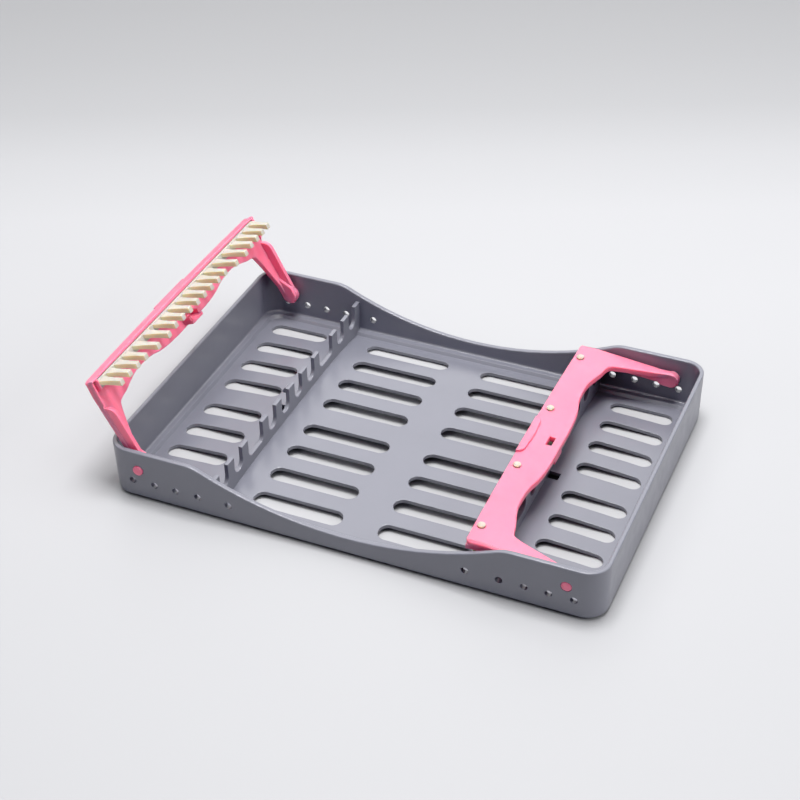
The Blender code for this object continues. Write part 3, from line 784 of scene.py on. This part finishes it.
def make_webs():
    """The arms' upright webs: arched under the bar, standing on the lobes, their tops inside the sheet."""
    pivot_rise, shoulder_rise = 0.4, 0.9
    pivot_top, arch_top, edge = 2.4, 4.6, 0.3
    foot = [(0, 0), (0, pivot_rise - LOBE_RADIUS), (BOSS_REACH[0], shoulder_rise - LOBE_RADIUS)]
    arch = [(u, z, True) for u, z in WEB_ARCH[1:]]
    outline = foot + [WEB_ARCH[0]] + arch + [(WEB_ARCH[-1][0], arch_top), (0, pivot_top)]
    return both_arms(outline, WEB[0], WEB[1], edge)


def make_bosses():
    """The thick pivot ends: a round end with a slanted shoulder, its outer disc and the stub pin."""
    rise, sink = 0.8, 0.4
    start, end = BOSS_REACH
    outline = arc((0, 0), BOSS_RADIUS, 90, 270, 24)
    outline += [(start, rise - LOBE_RADIUS), (end, 2.0), (end - 1, 2.6)]
    shapes = both_arms(outline, BOSS_INSIDE, WEB[1] - sink, 0.45)
    disc_radius, disc_inside, disc_outside = LOBE_RADIUS - 0.02, BOSS_INSIDE + 1.15, ARM_OUTSIDE - 0.1
    for side in (-1, 1):
        disc = rounded_rod(disc_radius, *on_side(side, disc_inside, disc_outside), 0.4)
        shapes.append(turned(disc, (0, 0, 0), "Y", 48))
        stub = rounded_rod(STUB_RADIUS, *on_side(side, ARM_OUTSIDE - 1, STUB_END), 0.3)
        shapes.append(turned(stub, (0, 0, 0), "Y", 40))
    return shapes


def make_lips():
    """The lip under the bar's bowed edge and round its ends, its top inside the sheet."""
    sink, steps, inset = 0.8, 8, 0.15
    ends = ARM_OUTSIDE - inset
    top = PLATE_BOTTOM + sink
    bowed = [(bar_edge(y) - 0.02, y) for y in [step * ends / steps for step in range(-steps, steps + 1)]]
    shapes = [plate([[(LIP_INSIDE, ends), (LIP_INSIDE, -ends)] + bowed], LIP_BOTTOM, top, 0.3)]
    corner = bar_edge(ARM_OUTSIDE) - 0.1
    outline = [
        (LIP_START - 1, top),
        (LIP_START, top - 0.8),
        (LIP_START + 1.5, LIP_END_BOTTOM + 0.1, True),
        (LIP_START + 3, LIP_END_BOTTOM),
        (corner, LIP_END_BOTTOM),
        (corner, top),
    ]
    return shapes + both_arms(outline, LIP_END_INSIDE, ARM_OUTSIDE - 0.02, 0.25)


def make_tabs():
    """The small walls that close the comb's ends, rounded more on the side towards the pivots."""
    sink, inner_round, outer_round, edge = 0.5, 1.8, 0.8, 0.25
    top = PLATE_BOTTOM + sink
    low, high = TAB_U
    outline = [(low, top), (low, TAB_BOTTOM + inner_round)]
    outline += arc((low + inner_round, TAB_BOTTOM + inner_round), inner_round, 190, 260, 6)
    outline += arc((high - outer_round, TAB_BOTTOM + outer_round), outer_round, 270, 350, 5)
    outline += [(high, top)]
    return both_arms(outline, TAB_Y[0], TAB_Y[1], edge)


def make_grip():
    """The raised thumb pad in the middle of the bar's edge."""
    sink, edge = 1.2, 0.35
    half = [(BAR_EDGE - 0.05, GRIP_HALF), (*GRIP_SHOULDER, True), (GRIP_INNER + 0.3, 5.4, True)]
    outline = half + [(GRIP_INNER, 0, True)] + mirrored(half)
    return plate([outline], PLATE_TOP - sink, PLATE_TOP + GRIP_HEIGHT, edge)


def make_housing():
    """The wall and the two cheeks round the latch window, under the bar."""
    sink, lap, edge = 0.6, 0.5, 0.2
    top = PLATE_BOTTOM + sink
    inner = WINDOW_WIDTH / 2
    outer = inner + HOUSING_WALL
    wall_end = HOUSING_OUTSIDE + HOUSING_WALL
    shapes = [rounded_box((HOUSING_OUTSIDE, wall_end), (-outer, outer), (HOUSING_BOTTOM, top), edge)]
    for side in (-1, 1):
        y = on_side(side, inner, outer)
        shapes.append(rounded_box((wall_end - lap, CHEEK_END), y, (CHEEK_BOTTOM, top), edge))
    return shapes


def make_frame():
    shapes = [make_sheet()] + make_webs() + make_bosses() + make_lips() + make_tabs()
    return joined(shapes + [make_grip()] + make_housing())


# ---------------------------------------------------------------- combs


def tooth_places():
    """(y, tip height) of the teeth on one half of the comb: one tooth on each side of every notch."""
    places = []
    for centre, width in NOTCHES:
        wide = width == WIDE_NOTCH
        spread = WIDE_PAIR if wide else NARROW_PAIR
        end = LONG_TOOTH_END if wide else TOOTH_END
        places += [(centre - spread, end), (centre + spread, end)]
    return places


def make_tooth(y, end):
    """A tongue that leans towards the pivots and deepens to its tip, with a root flared along the strip."""
    lap, levels, edge, turn = 0.05, 14, 0.24, 1.0
    wide, narrowing, flaring, flare_length, flare_power = 1.10, 0.18, 0.95, 0.6, 1.6
    root = COMB_TOP - lap
    splay = max(0.0, (y - SPLAY_START) / SPLAY_LENGTH)
    shape = bmesh.new()
    bmesh.ops.create_cube(shape, size=1.0)
    bmesh.ops.scale(shape, vec=(1.0, TOOTH_WIDTH, root - end), verts=shape.verts)
    bmesh.ops.translate(shape, vec=(0, y, (root + end) / 2), verts=shape.verts)
    slice_up(shape, 2, [end + (root - end) * step / levels for step in range(1, levels)])
    for vert in shape.verts:
        t = max(0.0, (root - vert.co.z) / (root - end))
        flare = max(0.0, 1 - t / flare_length) ** flare_power
        width = wide - narrowing * t + flaring * flare
        vert.co.y = y + (vert.co.y - y) * width + SPLAY_Y * splay * t
        outer = 1 if vert.co.x > 0 else 0
        tip = TOOTH_TIP[outer] + SPLAY_U * splay
        vert.co.x = TOOTH_ROOT[outer] + (tip - TOOTH_ROOT[outer]) * t
    edges = [e for e in shape.edges if abs(e.calc_face_angle(0.0)) > turn]
    bmesh.ops.bevel(shape, geom=edges, offset=edge, segments=2, profile=0.5, affect="EDGES")
    return shape


def stud_profile():
    """A stud through the bar: its neck, the seat of its head above the plate and the domed head."""
    base, rim = PLATE_TOP + 0.15, 0.25
    profile = [(STUD_NECK, COMB_TOP - 0.8), (STUD_NECK, base), (STUD_HEAD - 0.15, base)]
    for degrees in range(0, 90, 12):
        angle = math.radians(degrees)
        height = base + rim + (STUD_STANDS - 0.4) * math.sin(angle)
        profile.append((STUD_HEAD * math.cos(angle), height))
    return profile + [(0, PLATE_TOP + STUD_STANDS)]


def make_comb():
    strip_z = (COMB_TOP - STRIP_THICK, COMB_TOP)
    shapes = [rounded_box(STRIP, (-STRIP_HALF, STRIP_HALF), strip_z, 0.35, 3)]
    for y, end in tooth_places():
        shapes += [make_tooth(y, end), make_tooth(-y, end)]
    for y in STUD_PLACES:
        shapes.append(turned(stud_profile(), (STUD_U, y, 0), "Z", 32))
    return joined(shapes)


def make_clamps(pink, cream):
    """Each clamp's frame and comb, on its hinge as in the photograph: left open, right closed."""
    for joint, side, angle in zip(frame["joints"], (-1, 1), (OPEN_ANGLE, 0.0)):
        body = joint["child"]
        end = body.split("_")[0]
        pivot = Vector(joint["pos_m"]) + Vector((0, side * SIDE_FLOAT * MM, 0))
        turn = Euler((0, -math.radians(angle), math.pi if side > 0 else 0)).to_matrix().to_4x4()
        place = Matrix.Translation(pivot) @ turn
        shown = piece(f"{end}_frame", make_frame(), place, body, pink)
        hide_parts(f"{end}_clamp_frame")
        shown = piece(f"{end}_rubber_comb", make_comb(), place, body, cream)
        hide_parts(f"{end}_comb")


# ---------------------------------------------------------------- stage


def make_camera():
    forward = Vector(CAMERA_FORWARD).normalized()
    right = Vector(CAMERA_RIGHT).normalized()
    up = right.cross(forward).normalized()
    data = bpy.data.cameras.new("camera")
    data.lens = CAMERA_LENS
    data.sensor_width = CAMERA_SENSOR
    data.clip_start, data.clip_end = 0.05, 20
    camera = bpy.data.objects.new("camera", data)
    bpy.context.scene.collection.objects.link(camera)
    turn = Matrix((right, up, -forward)).transposed().to_4x4()
    x, y, z = CAMERA_PLACE
    camera.matrix_world = Matrix.Translation(Vector((x + TRAY_X, y, z)) * MM) @ turn
    bpy.context.scene.camera = camera


def add_light(name, where, size, power, target, sheen_only):
    data = bpy.data.lights.new(name, "AREA")
    data.shape = "RECTANGLE"
    data.size, data.size_y = size
    data.energy = power
    lamp = bpy.data.objects.new(name, data)
    bpy.context.scene.collection.objects.link(lamp)
    lamp.location = where
    lamp.rotation_euler = (Vector(target) - Vector(where)).to_track_quat("-Z", "Y").to_euler()
    lamp.visible_diffuse = not sheen_only


def make_table():
    """The pale table, painted a little darker far behind the tray as painted light falloff."""
    bpy.ops.mesh.primitive_plane_add(size=TABLE_SIZE, location=(0, 0, 0))
    ground = bpy.context.object
    ground.name = "ground"
    n = Nodes("ground", Roughness=TABLE_ROUGHNESS)
    # Painted light falloff: the base colour follows the distance away from the camera.
    depth = n.add("ShaderNodeVectorMath", operation="DOT_PRODUCT")
    depth.inputs[1].default_value = BACKWARDS
    n.link(n.coords.outputs["Object"], depth.inputs[0])
    greys = [(place, (grey, grey, grey * TABLE_BLUE)) for place, grey in PAINTED_FALLOFF_GREYS]
    shade = n.spread(depth.outputs["Value"], 0, 1, *PAINTED_DIMMING_SPAN)
    n.link(n.colours(shade, greys), n.shader.inputs["Base Color"])
    ground.data.materials.append(n.material)


def make_sky():
    world = bpy.data.worlds.new("studio")
    bpy.context.scene.world = world
    world.use_nodes = True
    background = world.node_tree.nodes["Background"]
    background.inputs["Color"].default_value = SKY_COLOUR
    background.inputs["Strength"].default_value = SKY_STRENGTH


def deepen_shadows():
    """Bends the foot of the picture's tone curve down."""
    view = bpy.context.scene.view_settings
    view.view_transform = "Standard"
    view.use_curve_mapping = True
    combined = view.curve_mapping.curves[3]
    for x, y in SHADOW_TONES:
        combined.points.new(x, y)
    for point in combined.points:
        point.handle_type = "VECTOR"
    view.curve_mapping.update()


def make_stage():
    make_table()
    make_sky()
    for light in LIGHTS:
        add_light(*light)
    deepen_shadows()


make_camera()
make_tray(grey_plastic())
make_clamps(pink_plastic(), cream_rubber())
make_stage()
